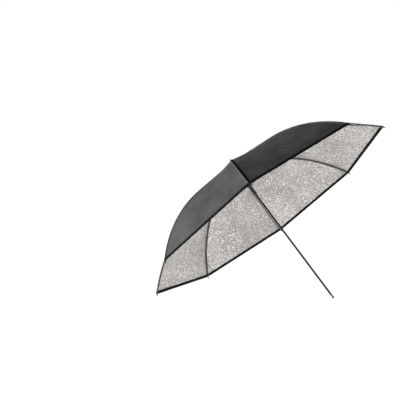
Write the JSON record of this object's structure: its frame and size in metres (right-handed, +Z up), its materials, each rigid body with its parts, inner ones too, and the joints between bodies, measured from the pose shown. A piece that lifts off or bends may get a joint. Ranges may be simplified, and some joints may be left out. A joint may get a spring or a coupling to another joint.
{
  "type": "umbrella reflector",
  "caption": "Folding photographic umbrella with a black outside and a silver inside that bounces studio light, open and resting on its rib tips and shaft end.",
  "frame": {"origin": "bottom centre of the object's box: on the floor that two rib tips and the end of the shaft stand on", "axes": "+Z up; the shaft lies in the YZ plane and rises from its end towards +Y, so the hollow silver side faces -Y and down; +X across the canopy"},
  "size_m": [0.9678, 0.7582, 0.6199],
  "materials": {
    "shaft": "satin",
    "ribs": "satin",
    "stretchers": "satin",
    "bright_metal": "satin",
    "hubs": "matte",
    "caps": "matte",
    "tips": "satin",
    "canopy": "satin"
  },
  "bodies": {
    "shaft": {"shaft_tube": "shaft", "top_cap": "caps", "crown": "hubs", "crown_wire": "bright_metal", "runner_stop": "bright_metal", "end_cap": "caps", "end_ring": "bright_metal"},
    "catch": {"runner_catch": "bright_metal"},
    "runner": {"runner": "hubs", "runner_wire": "bright_metal"},
    "rib_1": {"rib_1": "ribs", "rib_tip_1": "tips", "stretcher_rivet_1": "bright_metal"},
    "stretcher_1": {"stretcher_1": "stretchers"},
    "rib_2": {"rib_2": "ribs", "rib_tip_2": "tips", "stretcher_rivet_2": "bright_metal"},
    "stretcher_2": {"stretcher_2": "stretchers"},
    "rib_3": {"rib_3": "ribs", "rib_tip_3": "tips", "stretcher_rivet_3": "bright_metal"},
    "stretcher_3": {"stretcher_3": "stretchers"},
    "rib_4": {"rib_4": "ribs", "rib_tip_4": "tips", "stretcher_rivet_4": "bright_metal"},
    "stretcher_4": {"stretcher_4": "stretchers"},
    "rib_5": {"rib_5": "ribs", "rib_tip_5": "tips", "stretcher_rivet_5": "bright_metal"},
    "stretcher_5": {"stretcher_5": "stretchers"},
    "rib_6": {"rib_6": "ribs", "rib_tip_6": "tips", "stretcher_rivet_6": "bright_metal"},
    "stretcher_6": {"stretcher_6": "stretchers"},
    "rib_7": {"rib_7": "ribs", "rib_tip_7": "tips", "stretcher_rivet_7": "bright_metal"},
    "stretcher_7": {"stretcher_7": "stretchers"},
    "rib_8": {"rib_8": "ribs", "rib_tip_8": "tips", "stretcher_rivet_8": "bright_metal"},
    "stretcher_8": {"stretcher_8": "stretchers"},
    "pleat_1_left": {"gore_1_left": "canopy"},
    "pleat_1_right": {"gore_1_right": "canopy"},
    "pleat_2_left": {"gore_2_left": "canopy"},
    "pleat_2_right": {"gore_2_right": "canopy"},
    "pleat_3_left": {"gore_3_left": "canopy"},
    "pleat_3_right": {"gore_3_right": "canopy"},
    "pleat_4_left": {"gore_4_left": "canopy"},
    "pleat_4_right": {"gore_4_right": "canopy"},
    "pleat_5_left": {"gore_5_left": "canopy"},
    "pleat_5_right": {"gore_5_right": "canopy"},
    "pleat_6_left": {"gore_6_left": "canopy"},
    "pleat_6_right": {"gore_6_right": "canopy"},
    "pleat_7_left": {"gore_7_left": "canopy"},
    "pleat_7_right": {"gore_7_right": "canopy"},
    "pleat_8_left": {"gore_8_left": "canopy"},
    "pleat_8_right": {"gore_8_right": "canopy"}
  },
  "joints": [
    {"name": "rib_1_fold", "type": "hinge", "parent": "shaft", "child": "rib_1", "pos_m": [-0.00344, 0.15233, 0.48099], "axis": [-0.9239, -0.299, 0.2389], "range_deg": [0, 64]},
    {"name": "stretcher_1_turn", "type": "hinge", "parent": "rib_1", "child": "stretcher_1", "pos_m": [-0.08523, 0.27331, 0.31611], "axis": [-0.9239, -0.299, 0.2389], "range_deg": [-128, 0]},
    {"name": "rib_2_fold", "type": "hinge", "parent": "shaft", "child": "rib_2", "pos_m": [-0.00831, 0.14853, 0.48403], "axis": [-0.3827, -0.7218, 0.5767], "range_deg": [0, 64]},
    {"name": "stretcher_2_turn", "type": "hinge", "parent": "rib_2", "child": "stretcher_2", "pos_m": [-0.20575, 0.17915, 0.39135], "axis": [-0.3827, -0.7218, 0.5767], "range_deg": [-128, 0]},
    {"name": "rib_3_fold", "type": "hinge", "parent": "shaft", "child": "rib_3", "pos_m": [-0.00831, 0.14315, 0.48833], "axis": [0.3827, -0.7218, 0.5767], "range_deg": [0, 64]},
    {"name": "stretcher_3_turn", "type": "hinge", "parent": "rib_3", "child": "stretcher_3", "pos_m": [-0.20575, 0.04599, 0.49776], "axis": [0.3827, -0.7218, 0.5767], "range_deg": [-128, 0]},
    {"name": "rib_4_fold", "type": "hinge", "parent": "shaft", "child": "rib_4", "pos_m": [-0.00344, 0.13934, 0.49137], "axis": [0.9239, -0.299, 0.2389], "range_deg": [0, 64]},
    {"name": "stretcher_4_turn", "type": "hinge", "parent": "rib_4", "child": "stretcher_4", "pos_m": [-0.08523, -0.04816, 0.573], "axis": [0.9239, -0.299, 0.2389], "range_deg": [-128, 0]},
    {"name": "rib_5_fold", "type": "hinge", "parent": "shaft", "child": "rib_5", "pos_m": [0.00344, 0.13934, 0.49137], "axis": [0.9239, 0.299, -0.2389], "range_deg": [0, 64]},
    {"name": "stretcher_5_turn", "type": "hinge", "parent": "rib_5", "child": "stretcher_5", "pos_m": [0.08523, -0.04816, 0.573], "axis": [0.9239, 0.299, -0.2389], "range_deg": [-128, 0]},
    {"name": "rib_6_fold", "type": "hinge", "parent": "shaft", "child": "rib_6", "pos_m": [0.00831, 0.14315, 0.48833], "axis": [0.3827, 0.7218, -0.5767], "range_deg": [0, 64]},
    {"name": "stretcher_6_turn", "type": "hinge", "parent": "rib_6", "child": "stretcher_6", "pos_m": [0.20575, 0.04599, 0.49776], "axis": [0.3827, 0.7218, -0.5767], "range_deg": [-128, 0]},
    {"name": "rib_7_fold", "type": "hinge", "parent": "shaft", "child": "rib_7", "pos_m": [0.00831, 0.14853, 0.48403], "axis": [-0.3827, 0.7218, -0.5767], "range_deg": [0, 64]},
    {"name": "stretcher_7_turn", "type": "hinge", "parent": "rib_7", "child": "stretcher_7", "pos_m": [0.20575, 0.17915, 0.39135], "axis": [-0.3827, 0.7218, -0.5767], "range_deg": [-128, 0]},
    {"name": "rib_8_fold", "type": "hinge", "parent": "shaft", "child": "rib_8", "pos_m": [0.00344, 0.15233, 0.48099], "axis": [-0.9239, 0.299, -0.2389], "range_deg": [0, 64]},
    {"name": "stretcher_8_turn", "type": "hinge", "parent": "rib_8", "child": "stretcher_8", "pos_m": [0.08523, 0.27331, 0.31611], "axis": [-0.9239, 0.299, -0.2389], "range_deg": [-128, 0]},
    {"name": "runner_level", "type": "hinge", "parent": "stretcher_1", "child": "runner", "pos_m": [-0.00344, 0.08581, 0.39774], "axis": [-0.9239, -0.299, 0.2389], "range_deg": [0, 64]},
    {"name": "pleat_1_left_fold", "type": "hinge", "parent": "rib_1", "child": "pleat_1_left", "pos_m": [-0.00344, 0.15471, 0.48397], "axis": [-0.3485, 0.3995, -0.8479], "range_deg": [0, 74.14], "deforming": ["gore_1_left"]},
    {"name": "pleat_1_right_fold", "type": "hinge", "parent": "rib_2", "child": "pleat_1_right", "pos_m": [-0.00831, 0.15091, 0.48701], "axis": [0.8414, -0.0144, 0.5402], "range_deg": [0, 74.14], "deforming": ["gore_1_right"]},
    {"name": "pleat_2_left_fold", "type": "hinge", "parent": "rib_2", "child": "pleat_2_left", "pos_m": [-0.00831, 0.15091, 0.48701], "axis": [-0.8414, 0.0144, -0.5402], "range_deg": [0, 74.14], "deforming": ["gore_2_left"]},
    {"name": "pleat_2_right_fold", "type": "hinge", "parent": "rib_3", "child": "pleat_2_right", "pos_m": [-0.00831, 0.14553, 0.49131], "axis": [0.8414, 0.5301, 0.1051], "range_deg": [0, 74.14], "deforming": ["gore_2_right"]},
    {"name": "pleat_3_left_fold", "type": "hinge", "parent": "rib_3", "child": "pleat_3_left", "pos_m": [-0.00831, 0.14553, 0.49131], "axis": [-0.8414, -0.5301, -0.1051], "range_deg": [0, 74.14], "deforming": ["gore_3_left"]},
    {"name": "pleat_3_right_fold", "type": "hinge", "parent": "rib_4", "child": "pleat_3_right", "pos_m": [-0.00344, 0.14172, 0.49435], "axis": [0.3485, 0.9152, -0.2026], "range_deg": [0, 74.14], "deforming": ["gore_3_right"]},
    {"name": "pleat_4_left_fold", "type": "hinge", "parent": "rib_4", "child": "pleat_4_left", "pos_m": [-0.00344, 0.14172, 0.49435], "axis": [-0.3485, -0.9152, 0.2026], "range_deg": [0, 74.14], "deforming": ["gore_4_left"]},
    {"name": "pleat_4_right_fold", "type": "hinge", "parent": "rib_5", "child": "pleat_4_right", "pos_m": [0.00344, 0.14172, 0.49435], "axis": [-0.3485, 0.9152, -0.2026], "range_deg": [0, 74.14], "deforming": ["gore_4_right"]},
    {"name": "pleat_5_left_fold", "type": "hinge", "parent": "rib_5", "child": "pleat_5_left", "pos_m": [0.00344, 0.14172, 0.49435], "axis": [0.3485, -0.9152, 0.2026], "range_deg": [0, 74.14], "deforming": ["gore_5_left"]},
    {"name": "pleat_5_right_fold", "type": "hinge", "parent": "rib_6", "child": "pleat_5_right", "pos_m": [0.00831, 0.14553, 0.49131], "axis": [-0.8414, 0.5301, 0.1051], "range_deg": [0, 74.14], "deforming": ["gore_5_right"]},
    {"name": "pleat_6_left_fold", "type": "hinge", "parent": "rib_6", "child": "pleat_6_left", "pos_m": [0.00831, 0.14553, 0.49131], "axis": [0.8414, -0.5301, -0.1051], "range_deg": [0, 74.14], "deforming": ["gore_6_left"]},
    {"name": "pleat_6_right_fold", "type": "hinge", "parent": "rib_7", "child": "pleat_6_right", "pos_m": [0.00831, 0.15091, 0.48701], "axis": [-0.8414, -0.0144, 0.5402], "range_deg": [0, 74.14], "deforming": ["gore_6_right"]},
    {"name": "pleat_7_left_fold", "type": "hinge", "parent": "rib_7", "child": "pleat_7_left", "pos_m": [0.00831, 0.15091, 0.48701], "axis": [0.8414, 0.0144, -0.5402], "range_deg": [0, 74.14], "deforming": ["gore_7_left"]},
    {"name": "pleat_7_right_fold", "type": "hinge", "parent": "rib_8", "child": "pleat_7_right", "pos_m": [0.00344, 0.15471, 0.48397], "axis": [-0.3485, -0.3995, 0.8479], "range_deg": [0, 74.14], "deforming": ["gore_7_right"]},
    {"name": "pleat_8_left_fold", "type": "hinge", "parent": "rib_8", "child": "pleat_8_left", "pos_m": [0.00344, 0.15471, 0.48397], "axis": [0.3485, 0.3995, -0.8479], "range_deg": [0, 74.14], "deforming": ["gore_8_left"]},
    {"name": "pleat_8_right_fold", "type": "hinge", "parent": "rib_1", "child": "pleat_8_right", "pos_m": [-0.00344, 0.15471, 0.48397], "axis": [0.3485, -0.3995, 0.8479], "range_deg": [0, 74.14], "deforming": ["gore_8_right"]},
    {"name": "catch_press", "type": "slide", "parent": "shaft", "child": "catch", "axis": [0, -0.7812, 0.6243], "range_m": [0, 0.0015], "stiffness_N_per_m": 300, "springref_m": -0.002}
  ],
  "couplings": [
    {"joint": "stretcher_1_turn", "follows": "rib_1_fold", "ratio": -2},
    {"joint": "rib_2_fold", "follows": "rib_1_fold", "ratio": 1},
    {"joint": "stretcher_2_turn", "follows": "rib_1_fold", "ratio": -2},
    {"joint": "rib_3_fold", "follows": "rib_1_fold", "ratio": 1},
    {"joint": "stretcher_3_turn", "follows": "rib_1_fold", "ratio": -2},
    {"joint": "rib_4_fold", "follows": "rib_1_fold", "ratio": 1},
    {"joint": "stretcher_4_turn", "follows": "rib_1_fold", "ratio": -2},
    {"joint": "rib_5_fold", "follows": "rib_1_fold", "ratio": 1},
    {"joint": "stretcher_5_turn", "follows": "rib_1_fold", "ratio": -2},
    {"joint": "rib_6_fold", "follows": "rib_1_fold", "ratio": 1},
    {"joint": "stretcher_6_turn", "follows": "rib_1_fold", "ratio": -2},
    {"joint": "rib_7_fold", "follows": "rib_1_fold", "ratio": 1},
    {"joint": "stretcher_7_turn", "follows": "rib_1_fold", "ratio": -2},
    {"joint": "rib_8_fold", "follows": "rib_1_fold", "ratio": 1},
    {"joint": "stretcher_8_turn", "follows": "rib_1_fold", "ratio": -2},
    {"joint": "runner_level", "follows": "rib_1_fold", "ratio": 1},
    {"joint": "pleat_1_left_fold", "follows": "rib_1_fold", "ratio": 1.1584},
    {"joint": "pleat_1_right_fold", "follows": "rib_1_fold", "ratio": 1.1584},
    {"joint": "pleat_2_left_fold", "follows": "rib_1_fold", "ratio": 1.1584},
    {"joint": "pleat_2_right_fold", "follows": "rib_1_fold", "ratio": 1.1584},
    {"joint": "pleat_3_left_fold", "follows": "rib_1_fold", "ratio": 1.1584},
    {"joint": "pleat_3_right_fold", "follows": "rib_1_fold", "ratio": 1.1584},
    {"joint": "pleat_4_left_fold", "follows": "rib_1_fold", "ratio": 1.1584},
    {"joint": "pleat_4_right_fold", "follows": "rib_1_fold", "ratio": 1.1584},
    {"joint": "pleat_5_left_fold", "follows": "rib_1_fold", "ratio": 1.1584},
    {"joint": "pleat_5_right_fold", "follows": "rib_1_fold", "ratio": 1.1584},
    {"joint": "pleat_6_left_fold", "follows": "rib_1_fold", "ratio": 1.1584},
    {"joint": "pleat_6_right_fold", "follows": "rib_1_fold", "ratio": 1.1584},
    {"joint": "pleat_7_left_fold", "follows": "rib_1_fold", "ratio": 1.1584},
    {"joint": "pleat_7_right_fold", "follows": "rib_1_fold", "ratio": 1.1584},
    {"joint": "pleat_8_left_fold", "follows": "rib_1_fold", "ratio": 1.1584},
    {"joint": "pleat_8_right_fold", "follows": "rib_1_fold", "ratio": 1.1584}
  ]
}
